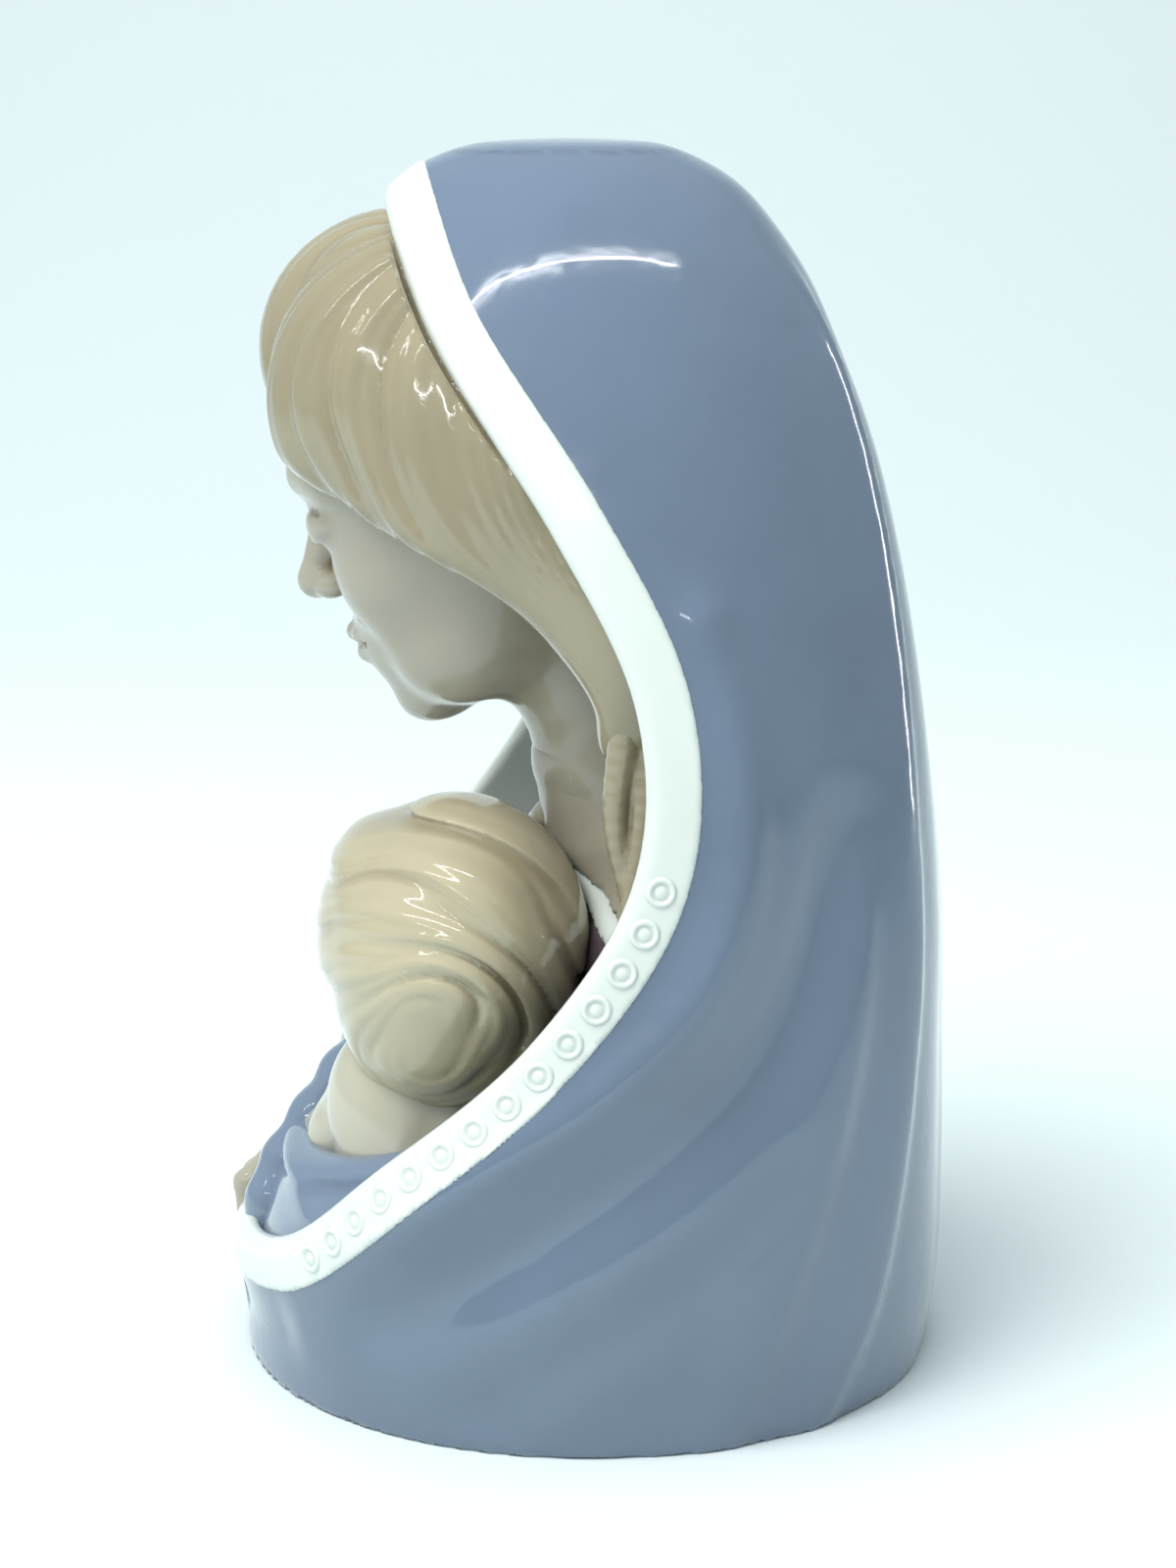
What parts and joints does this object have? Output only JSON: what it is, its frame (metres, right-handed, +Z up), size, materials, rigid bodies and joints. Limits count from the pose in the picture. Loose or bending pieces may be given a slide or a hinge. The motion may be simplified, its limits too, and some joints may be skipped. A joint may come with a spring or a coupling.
{
  "type": "madonna statue",
  "caption": "Glazed porcelain bust of a hooded madonna holding a child, slip-cast in luted pieces, standing on a flat foot.",
  "frame": {"origin": "middle of the foot, on the surface the bust stands on", "axes": "+Z up, the madonna faces -Y, her left side is +X"},
  "size_m": [0.1128, 0.1206, 0.2],
  "materials": {
    "blue_glaze": "glossy glaze",
    "white_glaze": "glossy glaze",
    "bare_porcelain": "bare biscuit",
    "skin_glaze": "glossy glaze",
    "hair_glaze": "glossy glaze",
    "mauve_glaze": "glossy glaze",
    "child_skin_glaze": "glossy glaze",
    "child_hair_glaze": "glossy glaze",
    "wrap_glaze": "glossy glaze"
  },
  "bodies": {
    "root": {"mantle_shell": "blue_glaze", "mantle_border": "white_glaze", "border_rings": "white_glaze", "base_plate": "bare_porcelain", "madonna_head": "skin_glaze", "madonna_hair": "hair_glaze", "hair_lock_left": "hair_glaze", "hair_lock_right": "hair_glaze", "chest": "skin_glaze", "dress_collar": "white_glaze", "dress_bodice": "mauve_glaze", "dress_sleeve": "mauve_glaze", "madonna_right_hand": "skin_glaze", "child_head": "child_skin_glaze", "child_hair": "child_hair_glaze", "child_torso": "child_skin_glaze", "child_left_arm": "child_skin_glaze", "child_right_arm": "child_skin_glaze", "inner_wrap": "wrap_glaze", "front_roll": "wrap_glaze"}
  },
  "joints": []
}
